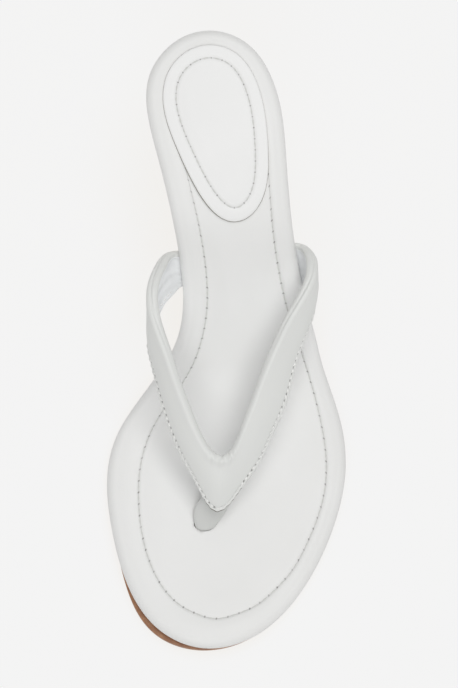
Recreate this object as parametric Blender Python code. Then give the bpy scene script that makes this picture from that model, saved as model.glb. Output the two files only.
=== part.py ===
"""Left shoe of a white leather toe post sandal on a slim covered heel.

The footbed is a padded insole wrapped in leather, bent to the last. A thin leather outsole is
cemented under it from the toe to the front face of the heel. A folded V strap is the whole
upper: its two ends are lasted between insole and outsole, and a toe post holds its point down.

Frame: metres, +Z up, toe towards -Y, inner side of the foot towards -X, floor at Z = 0, and the
origin on the floor under the middle of the shoe. Tables are in millimetres.
"""

from collections import namedtuple

import bmesh
import bpy
import numpy as np
from mathutils import Vector

MM = 0.001

# Driving dimensions, in millimetres.
CLEARANCE = 0.3
OUTSOLE_THICKNESS = 2.5
OUTSOLE_INSET = 0.4
OUTSOLE_BROKEN_EDGE = 0.5
OUTSOLE_RIM = 4.0
INSOLE_THICKNESS = 6.5
INSOLE_RIM = 8.5
PAD_THICKNESS = 1.0
PAD_ROUNDING = 0.4
PAD_RIM = 3.0
STRAP_REAR_THICKNESS = 3.4
STRAP_FRONT_THICKNESS = 2.0
STRAP_TAB_THICKNESS = 1.8
STRAP_TAB_HEIGHT = 1.1
STRAP_TAB_REACH = 10.0
STRAP_FILLING_OUT = 12.0
POST_CLEARANCE = 0.4
POST_SLOT_EXTRA = 1.0
HEEL_BREAST = 181.0
HEEL_INSET = 1.6
HEEL_CENTRE = -7.6
HEEL_TIP_WIDTH = 10.0
HEEL_TIP_LENGTH = 10.5
HEEL_TIP_THICKNESS = 5.0
HEEL_TIP_SETBACK = 13.0

# Shape of the heel, as plain ratios and powers.
HEEL_TAPER = 3.2  # how fast it narrows under the seat
HEEL_FOOT_FLARE = 0.35  # widening of the foot towards its flat front
HEEL_FOOT_FRONT = 0.36  # flat front, as a share of the foot's length from its middle

# The sole is left wide at the inner side of the toe, where its edge shows outside the insole.
SPREAD_MOST = 2.1  # millimetres beyond its inset elsewhere
SPREAD_CENTRE = 0.45  # angles round the outline from the toe tip
SPREAD_REACH = 0.34

# How far a strap's section is drawn out from an ellipse to a rounded box: 1 leaves the ellipse.
STRAP_SQUARENESS = 0.7

# Resolution of the lofts.
SOLE_STATIONS = 52
ROLL_STEPS = 7
STRAP_STATIONS = 78
STRAP_SIDES = 12
POST_SIDES = 16
HEEL_RINGS = 16
HEEL_RING_CROWDING = 1.25  # above 1, rings crowd towards the seat
HEEL_SIDE_POINTS = 14
HEEL_SIDE_CROWDING = 0.9  # below 1, points crowd towards the back
PAD_STATIONS = 24
CLOSEST_TURN = 0.02  # stations nearer than this to an end, as an angle, are left out
SHARP_DEGREES = 40
MERGE_MM = 0.005
DEGENERATE_MM = 0.001

# Slope of the footbed's bottom line, in degrees, along its length from the toe tip.
Slope = namedtuple("Slope", "along degrees")
PROFILE = (
    Slope(0, -9),  # toe spring
    Slope(35, 0),  # front of the tread
    Slope(78, 0),  # ball of the foot
    Slope(118, 42),  # waist
    Slope(154, 42),
    Slope(194, 14),  # heel seat
    Slope(232, 9),
)
SOLE_LENGTH = PROFILE[-1].along

# Outline of the footbed: distance of each edge from the centre line, inner side negative.
Width = namedtuple("Width", "along inner outer")
OUTLINE = (
    Width(1.1, -5.8, -5.8),
    Width(3, -15.6, 4.6),
    Width(8, -24.0, 13.9),
    Width(18, -32.1, 24.0),
    Width(32, -38.0, 33.0),
    Width(48, -41.7, 39.7),
    Width(64, -42.9, 43.3),
    Width(80, -39.1, 42.8),
    Width(93, -31.5, 39.6),
    Width(108, -22.2, 34.8),
    Width(120, -17.7, 31.8),
    Width(133, -16.3, 28.2),
    Width(148, -17.4, 24.8),
    Width(165, -20.3, 21.7),
    Width(185, -25.4, 19.3),
    Width(205, -30.2, 17.0),
    Width(216, -29.4, 13.5),
    Width(223, -25.6, 9.5),
    Width(229, -18.9, 2.8),
    Width(232, -8.0, -8.0),
)

# Outline of the heel pad, in the same terms.
PAD_OUTLINE = (
    Width(167.5, 0.9, 0.9),
    Width(170.5, -6.2, 7.6),
    Width(179, -13.2, 11.9),
    Width(191, -19.6, 12.4),
    Width(205, -24.3, 10.8),
    Width(216, -23.3, 7.2),
    Width(223, -18.0, 1.8),
    Width(226.5, -8.1, -8.1),
)

# The strap's two edges, from the centre line, the toe tip and the floor. The heel-side edge is
# the padded roll, and the toe-side edge is the stitched flange.
Rail = namedtuple("Rail", "heel_x heel_y heel_z toe_x toe_y toe_z")
INNER_ARM = (
    Rail(-21.0, 138.8, 43.8, -19.8, 128.2, 33.6),
    Rail(-24.4, 134.4, 48.4, -21.6, 124.2, 37.4),
    Rail(-26.8, 128.0, 52.0, -23.4, 118.4, 40.6),
    Rail(-27.6, 120.6, 53.6, -26.4, 112.4, 41.6),
    Rail(-26.1, 112.6, 53.0, -28.4, 106.4, 40.2),
    Rail(-22.7, 103.6, 50.0, -27.7, 100.6, 37.2),
    Rail(-18.2, 93.5, 45.0, -25.4, 91.8, 33.7),
    Rail(-13.8, 83.3, 39.5, -21.7, 79.5, 29.0),
    Rail(-9.9, 75.3, 35.0, -16.3, 67.6, 24.9),
    Rail(-6.1, 69.9, 32.2, -10.4, 57.6, 21.4),
)
POINT_OF_V = (Rail(-2.2, 68.0, 31.2, -3.5, 50.3, 18.8),)
OUTER_ARM = (
    Rail(1.2, 70.6, 32.2, 4.3, 56.8, 21.4),
    Rail(4.2, 77.6, 35.6, 10.6, 65.0, 25.5),
    Rail(7.3, 85.8, 39.8, 15.6, 75.3, 29.8),
    Rail(10.7, 95.0, 44.5, 20.2, 86.4, 34.0),
    Rail(14.7, 104.4, 48.4, 22.6, 96.6, 37.2),
    Rail(19.3, 113.8, 51.2, 25.6, 106.0, 39.6),
    Rail(24.4, 122.4, 52.4, 28.6, 114.2, 40.8),
    Rail(28.1, 130.2, 51.8, 29.6, 120.8, 40.8),
    Rail(29.0, 136.8, 49.2, 28.8, 127.2, 38.6),
    Rail(27.6, 141.4, 45.4, 27.2, 131.4, 35.4),
)

# Where each strap end passes under the edge of the insole: the span along it and the edge.
Tab = namedtuple("Tab", "toe_side heel_side edge")
INNER_TAB = Tab(139.0, 153.5, -16.8)
OUTER_TAB = Tab(142.5, 157.0, 24.4)
TAB_DEPTHS = (1.0, 0.5, 0.0)  # its rows, as shares of its reach inwards from the edge

# Toe post: middle of each section, its size across and along the shoe, from top to bottom.
Section = namedtuple("Section", "x y z across along")
TOE_POST = (
    Section(-2.6, 60.0, 24.3, 13.0, 5.4),
    Section(-3.6, 55.8, 18.5, 12.4, 5.0),
    Section(-5.2, 51.4, 13.0, 10.4, 4.8),
    Section(-7.2, 48.4, 9.4, 7.8, 4.6),
    Section(-8.2, 47.2, 2.8, 6.8, 4.6),
)

# Finish of each material: colour (linear), roughness.
Finish = namedtuple("Finish", "colour roughness")
WHITE_LEATHER = Finish((0.80, 0.81, 0.80), 0.55)
PAD_LEATHER = Finish((0.83, 0.84, 0.84), 0.5)
TAN_LEATHER = Finish((0.36, 0.17, 0.09), 0.5)
WHITE_RUBBER = Finish((0.72, 0.71, 0.69), 0.6)


def spline(knots, values):
    """A natural cubic spline through the values, as a function of the knots' parameter."""
    t = np.asarray(knots, float)
    v = np.asarray(values, float)
    gap = np.diff(t)
    rise = np.diff(v) / gap
    system = np.eye(len(t))
    side = np.zeros(len(t))
    for i in range(1, len(t) - 1):
        system[i, i - 1 : i + 2] = gap[i - 1], 2 * (gap[i - 1] + gap[i]), gap[i]
        side[i] = 6 * (rise[i] - rise[i - 1])
    bend = np.linalg.solve(system, side)

    def at(p):
        i = np.clip(np.searchsorted(t, p, side="right") - 1, 0, len(gap) - 1)
        a = p - t[i]
        slope = rise[i] - gap[i] * (2 * bend[i] + bend[i + 1]) / 6
        return v[i] + a * slope + a**2 * bend[i] / 2 + a**3 * (bend[i + 1] - bend[i]) / (6 * gap[i])

    return at


class Last:
    """The bent bottom line of the footbed, which every sole piece is laid on."""

    STEP = 0.1

    def __init__(self):
        self.along = np.arange(0, SOLE_LENGTH + self.STEP / 2, self.STEP)
        degrees = np.zeros(len(self.along))
        for a, b in zip(PROFILE[:-1], PROFILE[1:]):
            span = (self.along >= a.along) & (self.along <= b.along)
            k = (self.along[span] - a.along) / (b.along - a.along)
            degrees[span] = a.degrees + (b.degrees - a.degrees) * k**2 * (3 - 2 * k)
        self.slope = np.radians(degrees)
        middle = (self.slope[1:] + self.slope[:-1]) / 2
        self.y = np.concatenate([[0], np.cumsum(np.cos(middle) * self.STEP)])
        z = np.concatenate([[0], np.cumsum(np.sin(middle) * self.STEP)])
        self.z = z - z.min() + OUTSOLE_THICKNESS + CLEARANCE
        self.centre = (self.y[0] + self.y[-1]) / 2

    def place(self, along, across, height):
        """World position of a point given along, across and square to the bottom line."""
        slope = np.interp(along, self.along, self.slope)
        y = np.interp(along, self.along, self.y) - height * np.sin(slope)
        z = np.interp(along, self.along, self.z) + height * np.cos(slope)
        return self.from_toe(across, y, z)

    def from_toe(self, across, y, z):
        """World position of a point given from the centre line, the toe tip and the floor."""
        return Vector((across, y - self.centre, z)) * MM


class Edge:
    """A closed outline laid out flat, with a way in from its edge along the inward normal."""

    STEP = 0.01

    def __init__(self, widths):
        self.start = widths[0].along
        self.length = widths[-1].along - self.start
        turn = [self.turn_of(w.along) for w in widths]
        self.sides = {
            "inner": spline(turn, [w.inner for w in widths]),
            "outer": spline(turn, [w.outer for w in widths]),
        }

    def turn_of(self, along):
        """Angle of a half circle drawn over the length: it opens up the two round ends."""
        return float(np.arccos(np.clip(1 - 2 * (along - self.start) / self.length, -1, 1)))

    def along_of(self, turn):
        return self.start + self.length * (1 - np.cos(turn)) / 2

    def point(self, side, turn, inset):
        """(along, across) of the outline, moved inwards by inset."""
        across = self.sides[side]
        if turn <= 0 or turn >= np.pi:
            return self.along_of(turn) + inset * (1 if turn <= 0 else -1), float(across(turn))
        a, b = turn - self.STEP, turn + self.STEP
        run = self.along_of(b) - self.along_of(a)
        rise = float(across(b) - across(a))
        reach = np.hypot(run, rise)
        inward = 1 if side == "inner" else -1
        return (
            self.along_of(turn) - inward * inset * rise / reach,
            float(across(turn)) + inward * inset * run / reach,
        )


LAST = Last()
FOOTBED_EDGE = Edge(OUTLINE)
PAD_EDGE = Edge(PAD_OUTLINE)


def new_object(name, mesh_builder, collection):
    """An object from a bmesh with its doubles merged and its faces turned outwards."""
    bmesh.ops.remove_doubles(mesh_builder, verts=mesh_builder.verts, dist=MERGE_MM * MM)
    bmesh.ops.dissolve_degenerate(mesh_builder, edges=mesh_builder.edges, dist=DEGENERATE_MM * MM)
    bmesh.ops.recalc_face_normals(mesh_builder, faces=mesh_builder.faces)
    mesh = bpy.data.meshes.new(name)
    mesh_builder.to_mesh(mesh)
    mesh_builder.free()
    mesh.shade_smooth()
    mesh.set_sharp_from_angle(angle=np.radians(SHARP_DEGREES))
    obj = bpy.data.objects.new(name, mesh)
    collection.objects.link(obj)
    return obj


def loft(name, rings, collection):
    """A closed solid through rings of equal length. Each end is closed by strips across it."""
    bm = bmesh.new()
    loops = [[bm.verts.new(p) for p in ring] for ring in rings]
    count = len(loops[0])
    for a, b in zip(loops[:-1], loops[1:]):
        for i in range(count):
            j = (i + 1) % count
            bm.faces.new((a[i], a[j], b[j], b[i]))
    for loop in (loops[0], loops[-1]):
        for i in range(count // 2 - 1):
            bm.faces.new((loop[i], loop[i + 1], loop[count - 2 - i], loop[count - 1 - i]))
    return new_object(name, bm, collection)


def sole_stations(edge, count, last=np.pi):
    """Turns of the stations up to last, on a spacing that every sole piece shares."""
    turns = [turn for turn in np.linspace(0, np.pi, count + 1) if turn < last - CLOSEST_TURN]
    return turns + [last]


def outsole_spread(side, turn):
    """How much further out than its inset the sole's edge stands."""
    lap = turn if side == "inner" else -turn
    return SPREAD_MOST * np.exp(-(((lap - SPREAD_CENTRE) / SPREAD_REACH) ** 2))


def no_spread(side, turn):
    """An edge that keeps its inset all round."""
    return 0.0


def sole_rings(edge, turns, profile, spread=no_spread):
    """Rings across a sole piece. The profile lists (inset, height) from bottom to top."""
    rings = []
    for turn in turns:
        square_end = turn == turns[-1] and turn < np.pi
        half = {}
        for side in ("inner", "outer"):
            half[side] = []
            wide = spread(side, turn)
            for inset, height in profile:
                along, across = edge.point(side, turn, inset - wide)
                if square_end:
                    along = edge.along_of(turn)
                half[side].append(LAST.place(along, across, height))
        rings.append(half["inner"] + half["outer"][::-1])
    return rings


def make_insole(collection):
    """Padded insole, its edge rolled to a half circle with a flat rim inside it."""
    radius = INSOLE_THICKNESS / 2
    profile = [(INSOLE_RIM, 0.0)]
    for angle in np.linspace(-np.pi / 2, np.pi / 2, ROLL_STEPS):
        profile.append((radius * (1 - np.cos(angle)), radius * (1 + np.sin(angle))))
    profile.append((INSOLE_RIM, INSOLE_THICKNESS))
    turns = sole_stations(FOOTBED_EDGE, SOLE_STATIONS)
    return loft("insole", sole_rings(FOOTBED_EDGE, turns, profile), collection)


def make_outsole(collection):
    """Leather sole from the toe to the heel's front face, with a lightly broken edge."""
    top = -CLEARANCE
    bottom = top - OUTSOLE_THICKNESS
    profile = [
        (OUTSOLE_INSET + OUTSOLE_RIM, bottom),
        (OUTSOLE_INSET + OUTSOLE_BROKEN_EDGE, bottom),
        (OUTSOLE_INSET, bottom + OUTSOLE_BROKEN_EDGE),
        (OUTSOLE_INSET, top),
        (OUTSOLE_INSET + OUTSOLE_RIM, top),
    ]
    turns = sole_stations(FOOTBED_EDGE, SOLE_STATIONS, FOOTBED_EDGE.turn_of(HEEL_BREAST))
    rings = sole_rings(FOOTBED_EDGE, turns, profile, outsole_spread)
    return loft("outsole", rings, collection)


def make_heel_pad(collection):
    """Thin heel sock that lies on the insole, its upper edge broken."""
    bottom = INSOLE_THICKNESS + CLEARANCE
    top = bottom + PAD_THICKNESS
    profile = [
        (PAD_RIM, bottom),
        (0, bottom),
        (0, top - PAD_ROUNDING),
        (PAD_ROUNDING, top),
        (PAD_RIM, top),
    ]
    turns = sole_stations(PAD_EDGE, PAD_STATIONS)
    return loft("heel_pad", sole_rings(PAD_EDGE, turns, profile), collection)


def spline_3d(knots, points):
    """A smooth curve through points in space, held at its two ends."""
    parts = [spline(knots, points[:, axis]) for axis in range(3)]
    return lambda t: np.array([float(part(np.clip(t, knots[0], knots[-1]))) for part in parts])


def tab_rows(tab, reach):
    """Both edges of a strap end, from its hidden end out to the edge of the insole."""
    rows = []
    for depth in TAB_DEPTHS:
        across = tab.edge + reach * depth
        heel_side = LAST.place(tab.heel_side, across, STRAP_TAB_HEIGHT)
        toe_side = LAST.place(tab.toe_side, across, STRAP_TAB_HEIGHT)
        rows.append((heel_side, toe_side))
    return rows


def strap_rows(grow):
    """Both edges of the strap, row by row, from one hidden end to the other."""
    rows = tab_rows(INNER_TAB, STRAP_TAB_REACH + grow)
    for rail in INNER_ARM + POINT_OF_V + OUTER_ARM:
        heel_side = LAST.from_toe(rail.heel_x, rail.heel_y, rail.heel_z)
        toe_side = LAST.from_toe(rail.toe_x, rail.toe_y, rail.toe_z)
        rows.append((heel_side, toe_side))
    return rows + tab_rows(OUTER_TAB, -STRAP_TAB_REACH - grow)[::-1]


def flatten(value):
    """Draws a circle's coordinate out towards a rounded box."""
    return np.sign(value) * abs(value) ** STRAP_SQUARENESS


def strap_section(heel_side, toe_side, ahead, fullness, grow):
    """One ring of the strap: thick at its padded heel side and thin at its toe side."""
    width = heel_side - toe_side
    reach = np.linalg.norm(width)
    across = width / reach
    outward = np.cross(ahead, width)
    outward /= np.linalg.norm(outward)
    ring = []
    for angle in (np.arange(STRAP_SIDES) + 0.5) * 2 * np.pi / STRAP_SIDES:
        side = flatten(np.cos(angle))
        padded = (1 + side) / 2
        full = STRAP_FRONT_THICKNESS + (STRAP_REAR_THICKNESS - STRAP_FRONT_THICKNESS) * padded
        thick = STRAP_TAB_THICKNESS + (full - STRAP_TAB_THICKNESS) * fullness
        out = (thick / 2 + grow) * MM * flatten(np.sin(angle))
        over = (reach / 2 + grow * MM) * side
        ring.append(Vector((heel_side + toe_side) / 2 + across * over + outward * out))
    return ring


def strap_rings(grow):
    """Rings round the strap, made larger all round by grow.

    The ends are flat where they lie under the insole, and fill out as they leave it.
    """
    rows = strap_rows(grow)
    heel_sides = np.array([row[0] for row in rows])
    toe_sides = np.array([row[1] for row in rows])
    steps = np.linalg.norm(np.diff((heel_sides + toe_sides) / 2, axis=0), axis=1)
    knots = np.concatenate([[0], np.cumsum(steps)])
    heel_at = spline_3d(knots, heel_sides)
    toe_at = spline_3d(knots, toe_sides)
    leaves_sole = knots[len(TAB_DEPTHS)]
    meets_sole = knots[-len(TAB_DEPTHS) - 1]
    nudge = 0.2 * MM
    rings = []
    for t in np.linspace(0, knots[-1], STRAP_STATIONS + 1):
        before, after = t - nudge, t + nudge
        ahead = heel_at(after) + toe_at(after) - heel_at(before) - toe_at(before)
        outside = min(t - leaves_sole, meets_sole - t) / (STRAP_FILLING_OUT * MM)
        fullness = np.clip(0.5 + outside, 0, 1)
        rings.append(strap_section(heel_at(t), toe_at(t), ahead, fullness, grow))
    return rings


def make_strap(collection):
    """The upper: both arms and the point of the V in one folded, padded piece."""
    return loft("strap", strap_rings(0), collection)


def post_rings(grow, extra):
    """Oval rings down the toe post, made wider by grow and longer at its foot by extra."""
    rings = []
    for section in TOE_POST:
        foot = extra if section == TOE_POST[-1] else 0
        ring = []
        for angle in (np.arange(POST_SIDES) + 0.5) * 2 * np.pi / POST_SIDES:
            x = section.x + (section.across / 2 + grow) * np.cos(angle)
            y = section.y + (section.along / 2 + grow) * np.sin(angle)
            ring.append(LAST.from_toe(x, y, section.z - foot))
        rings.append(ring)
    return rings


def heel_foot():
    """Middle of the heel's foot, from the toe tip."""
    return LAST.y[-1] - HEEL_TIP_SETBACK


def foot_ring(count, height):
    """Outline of the heel's foot: round at the back and flat at the front."""
    ring = []
    for i in range(count):
        angle = (i + 0.5) / count * 2 * np.pi
        x = HEEL_TIP_WIDTH / 2 * np.sin(angle)
        y = -HEEL_TIP_LENGTH / 2 * np.cos(angle)
        front = max(0.0, np.cos(angle))
        x *= 1 + HEEL_FOOT_FLARE * front
        y = max(y, -HEEL_TIP_LENGTH * HEEL_FOOT_FRONT)
        ring.append(LAST.from_toe(HEEL_CENTRE - x, heel_foot() + y, height))
    return ring


def heel_seat_ring():
    """Outline of the heel where it meets the insole, in the order of the foot's outline."""
    first = FOOTBED_EDGE.turn_of(HEEL_BREAST + CLEARANCE)
    sides = {}
    for side in ("inner", "outer"):
        sides[side] = []
        for k in range(HEEL_SIDE_POINTS):
            share = (k / (HEEL_SIDE_POINTS - 1)) ** HEEL_SIDE_CROWDING
            turn = first + (np.pi - CLOSEST_TURN - first) * share
            along, across = FOOTBED_EDGE.point(side, turn, HEEL_INSET)
            if k == 0:
                along = HEEL_BREAST + CLEARANCE
            sides[side].append(LAST.place(along, across, -CLEARANCE))
    return sides["inner"] + sides["outer"][::-1]


def make_heel(collection):
    """Slim heel: it narrows fast under the seat and runs straight down to its foot."""
    seat = heel_seat_ring()
    foot = foot_ring(len(seat), HEEL_TIP_THICKNESS + CLEARANCE)
    rings = []
    for drop in np.linspace(0, 1, HEEL_RINGS) ** HEEL_RING_CROWDING:
        narrow = 1 - (1 - drop) ** HEEL_TAPER
        ring = []
        for top, end in zip(seat, foot):
            p = top.lerp(end, narrow)
            p.z = top.z + (end.z - top.z) * drop
            ring.append(p)
        rings.append(ring)
    return loft("heel", rings, collection)


def make_heel_tip(collection):
    """Top piece of the heel: its flat lower face stands on the floor."""
    rings = [foot_ring(2 * HEEL_SIDE_POINTS, z) for z in (HEEL_TIP_THICKNESS, 0)]
    return loft("heel_tip", rings, collection)


def cut(obj, cutter):
    """Takes the cutter's space out of the object."""
    boolean = obj.modifiers.new("clear_of_" + cutter.name, "BOOLEAN")
    boolean.operation = "DIFFERENCE"
    boolean.solver = "EXACT"
    boolean.object = cutter


def as_cutter(obj):
    """Marks an object as a helper that isn't part of the shoe."""
    obj.hide_render = True
    obj.display_type = "WIRE"
    return obj


def dress(obj, name, finish):
    """Gives the object its own material."""
    material = bpy.data.materials.new(name)
    material.use_nodes = True
    shader = material.node_tree.nodes["Principled BSDF"]
    shader.inputs["Base Color"].default_value = (*finish.colour, 1)
    shader.inputs["Roughness"].default_value = finish.roughness
    shader.inputs["Metallic"].default_value = 0.0
    obj.data.materials.append(material)


def main():
    for obj in list(bpy.data.objects):
        bpy.data.objects.remove(obj)
    parts = bpy.data.collections.new("toe_post_sandal")
    cutters = bpy.data.collections.new("cutters")
    for collection in (parts, cutters):
        bpy.context.scene.collection.children.link(collection)

    strap_space = as_cutter(loft("strap_space", strap_rings(CLEARANCE), cutters))
    post_space = as_cutter(loft("post_space", post_rings(POST_CLEARANCE, POST_SLOT_EXTRA), cutters))

    insole = make_insole(parts)
    cut(insole, strap_space)
    cut(insole, post_space)
    toe_post = loft("toe_post", post_rings(0, 0), parts)
    cut(toe_post, strap_space)

    dress(insole, "insole_leather", WHITE_LEATHER)
    dress(toe_post, "post_leather", WHITE_LEATHER)
    dress(make_outsole(parts), "outsole_leather", TAN_LEATHER)
    dress(make_heel_pad(parts), "pad_leather", PAD_LEATHER)
    dress(make_strap(parts), "strap_leather", WHITE_LEATHER)
    dress(make_heel(parts), "heel_leather", WHITE_LEATHER)
    dress(make_heel_tip(parts), "tip_rubber", WHITE_RUBBER)


if __name__ == "__main__":
    main()
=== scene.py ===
"""Looks of a left stiletto toe post sandal: padded nappa footbed, folded V strap, slim heel.

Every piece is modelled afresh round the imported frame, at the sizes of its solid. Lengths in the
classes are millimetres; the meshes are metres, +Z up, toe towards -Y, inner side towards -X.
"""

from __future__ import annotations

import logging
from collections.abc import Callable, Iterable
from dataclasses import dataclass
from enum import Enum
from typing import NamedTuple

import bmesh
import bpy
import numpy as np
from mathutils import Matrix, Vector


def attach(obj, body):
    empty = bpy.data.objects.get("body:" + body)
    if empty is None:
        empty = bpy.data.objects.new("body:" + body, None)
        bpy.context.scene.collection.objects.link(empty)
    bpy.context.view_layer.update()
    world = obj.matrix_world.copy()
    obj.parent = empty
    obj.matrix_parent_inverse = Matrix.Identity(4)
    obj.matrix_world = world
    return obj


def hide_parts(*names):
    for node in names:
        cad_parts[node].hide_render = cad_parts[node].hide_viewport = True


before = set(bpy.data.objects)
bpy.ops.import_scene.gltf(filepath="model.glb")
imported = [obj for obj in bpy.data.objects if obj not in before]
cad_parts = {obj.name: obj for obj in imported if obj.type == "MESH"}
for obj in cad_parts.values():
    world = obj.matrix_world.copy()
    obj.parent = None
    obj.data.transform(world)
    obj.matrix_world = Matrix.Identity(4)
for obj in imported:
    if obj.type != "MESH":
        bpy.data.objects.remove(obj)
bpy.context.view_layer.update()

log = logging.getLogger("sandal")

MM = 0.001
BODY = "root"
MERGE = 0.004 * MM
UV_NAME = "surface"
TURN = 2 * np.pi
Array = np.ndarray


class Slope(NamedTuple):
    """Slope of the bottom line, in degrees, at a length along it from the toe."""

    along: float
    degrees: float


class Width(NamedTuple):
    """Both edges of an outline, from the centre line, at a length along it."""

    along: float
    inner: float
    outer: float


class Rail(NamedTuple):
    """One row of the strap: its padded heel side edge and its stitched toe side edge."""

    heel_x: float
    heel_y: float
    heel_z: float
    toe_x: float
    toe_y: float
    toe_z: float


class Tab(NamedTuple):
    """Where a strap end passes under the rim: its span along the footbed, and the edge."""

    toe_side: float
    heel_side: float
    edge: float


class Section(NamedTuple):
    """One section of the toe post: its middle, and its size across and along the shoe."""

    x: float
    y: float
    z: float
    across: float
    along: float


class Dish(NamedTuple):
    """A soft swelling of the footbed, or a hollow where its lift is negative."""

    lift: float
    along: float
    length: float
    across: float
    width: float


class Lamp(NamedTuple):
    """A square softbox: its place in mm, its size in metres and its power in watts."""

    name: str
    x: float
    y: float
    z: float
    size: float
    watts: float


class Side(Enum):
    """Side of the foot."""

    INNER = "inner"
    OUTER = "outer"


class Zone(Enum):
    """Part of the footbed's section, from its underside to the middle of its top."""

    UNDER = "under"
    ROLL = "roll"
    BAND = "band"
    SEAM = "seam"
    FIELD = "field"


class Kind(Enum):
    """How a ring is placed: an inset from the outline, a share of the way to the spine, or raw."""

    INSET = "inset"
    SPINE = "spine"
    RAW = "raw"


# ---- Shape helpers ----


def natural_spline(knots: Iterable[float], values: Iterable[float]) -> Callable:
    """Natural cubic spline.

    Args:
        knots: rising parameter values.
        values: the value at each knot.

    Returns:
        A function of an array of parameters.
    """
    t, v = np.asarray(list(knots), float), np.asarray(list(values), float)
    gap = np.diff(t)
    rise = np.diff(v) / gap
    system = np.eye(len(t))
    side = np.zeros(len(t))
    for i in range(1, len(t) - 1):
        system[i, i - 1 : i + 2] = gap[i - 1], 2 * (gap[i - 1] + gap[i]), gap[i]
        side[i] = 6 * (rise[i] - rise[i - 1])
    bend = np.linalg.solve(system, side)

    def at(p: Array) -> Array:
        """The spline's value at p, held at its ends."""
        p = np.clip(p, t[0], t[-1])
        i = np.clip(np.searchsorted(t, p, side="right") - 1, 0, len(gap) - 1)
        a = p - t[i]
        slope = rise[i] - gap[i] * (2 * bend[i] + bend[i + 1]) / 6
        return v[i] + a * slope + a**2 * bend[i] / 2 + a**3 * (bend[i + 1] - bend[i]) / (6 * gap[i])

    return at


def smooth(x: Array) -> Array:
    """Goes softly from 0 to 1 as x does."""
    x = np.clip(x, 0, 1)
    return x * x * (3 - 2 * x)


def bump(x: Array, width: float) -> Array:
    """A soft hump of height 1 round x = 0."""
    return np.exp(-((x / width) ** 2))


def between(a: Array, b: Array, share: Array) -> Array:
    """The value at a share of the way from a to b."""
    return a + (b - a) * share


def unit(v: Array) -> Array:
    """Rows of v at length 1."""
    return v / np.maximum(np.linalg.norm(v, axis=-1, keepdims=True), 1e-12)


def run_of(line: Array) -> Array:
    """Length in mm from the first point of a line in metres to each of its points."""
    steps = np.linalg.norm(np.diff(line, axis=0), axis=1) / MM
    return np.concatenate([[0], np.cumsum(steps)])


class Laid:
    """A piece whose surface is laid ring by ring."""

    columns: int

    def rings(self) -> list[tuple]:
        """The values that tell each ring from the others."""
        raise NotImplementedError

    def lay(self, column: Array, *ring: float) -> tuple[Array, ...]:
        """Lays one ring.

        Args:
            column: column numbers.
            ring: the ring's values, one of those that rings() gives.

        Returns:
            Its points in metres, and its two map coordinates in mm.
        """
        raise NotImplementedError

    def grid(self, name: str) -> bmesh.types.BMesh:
        """Lays all rings, closed wherever their edges meet.

        Args:
            name: what is being made, for the log.

        Returns:
            The mesh, with its UV map.
        """
        rings = self.rings()
        rows = len(rings) - 1
        bm = bmesh.new()
        bmesh.ops.create_grid(bm, x_segments=self.columns, y_segments=rows, size=0.5)
        flat = np.array([v.co[:2] for v in bm.verts]) + 0.5
        column, row = np.rint(flat[:, 0] * self.columns), np.rint(flat[:, 1] * rows)
        points, map_mm = np.zeros((len(flat), 3)), np.zeros((len(flat), 2))
        for number, ring in enumerate(rings):
            here = row == number
            points[here], map_mm[here, 0], map_mm[here, 1] = self.lay(column[here], *ring)
        layer = bm.loops.layers.uv.new(UV_NAME)
        bm.verts.index_update()
        for face in bm.faces:
            for loop in face.loops:
                loop[layer].uv = map_mm[loop.vert.index]
        for vert, point in zip(bm.verts, points):
            vert.co = point
        bmesh.ops.remove_doubles(bm, verts=bm.verts, dist=MERGE)
        bmesh.ops.dissolve_degenerate(bm, edges=bm.edges, dist=MERGE)
        log.info("%s: grid of %d x %d", name, self.columns, rows)
        return bm


def dressed(name: str, bm: bmesh.types.BMesh, *finishes: Finish) -> bpy.types.Object:
    """Turns a mesh into an object with its materials.

    Args:
        name: the object's name.
        bm: its mesh in metres, which is freed.
        finishes: one finish for each material number in the mesh.

    Returns:
        The object, linked to the scene.
    """
    mesh = bpy.data.meshes.new(name)
    bm.to_mesh(mesh)
    bm.free()
    for finish in finishes:
        mesh.materials.append(finish.material())
    obj = bpy.data.objects.new(name, mesh)
    bpy.context.scene.collection.objects.link(obj)
    return obj


def finished(name: str, bm: bmesh.types.BMesh, *finishes: Finish) -> bpy.types.Object:
    """Turns a mesh into a piece of the shoe, facing outwards, smooth shaded and dressed.

    Args:
        name: the piece's name.
        bm: its mesh in metres, which is freed.
        finishes: one finish for each material number in the mesh.

    Returns:
        The object, riding on the shoe.
    """
    bmesh.ops.recalc_face_normals(bm, faces=bm.faces)
    obj = dressed(name, bm, *finishes)
    obj.data.shade_smooth()
    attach(obj, BODY)
    log.info("%s: %d faces", name, len(obj.data.polygons))
    return obj


# ---- Finishes ----


def linear(hex_colour: str) -> tuple[float, float, float, float]:
    """Linear colour of an sRGB hex value.

    Args:
        hex_colour: six hex digits.

    Returns:
        Red, green, blue and an alpha of 1.
    """
    parts = [int(hex_colour[i : i + 2], 16) / 255 for i in (0, 2, 4)]
    lin = [c / 12.92 if c <= 0.04045 else ((c + 0.055) / 1.055) ** 2.4 for c in parts]
    return (*lin, 1.0)


def repeats(size_mm: float) -> float:
    """Texture scale of a pattern of a real size."""
    return 1 / (size_mm * MM)


def plug(tree: bpy.types.NodeTree, node: bpy.types.Node, inputs: dict) -> None:
    """Links or sets a node's inputs.

    Args:
        tree: the node tree.
        node: the node.
        inputs: socket name or number to a value or to an output socket.
    """
    for key, value in inputs.items():
        if isinstance(value, bpy.types.NodeSocket):
            tree.links.new(value, node.inputs[key])
        else:
            node.inputs[key].default_value = value


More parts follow.
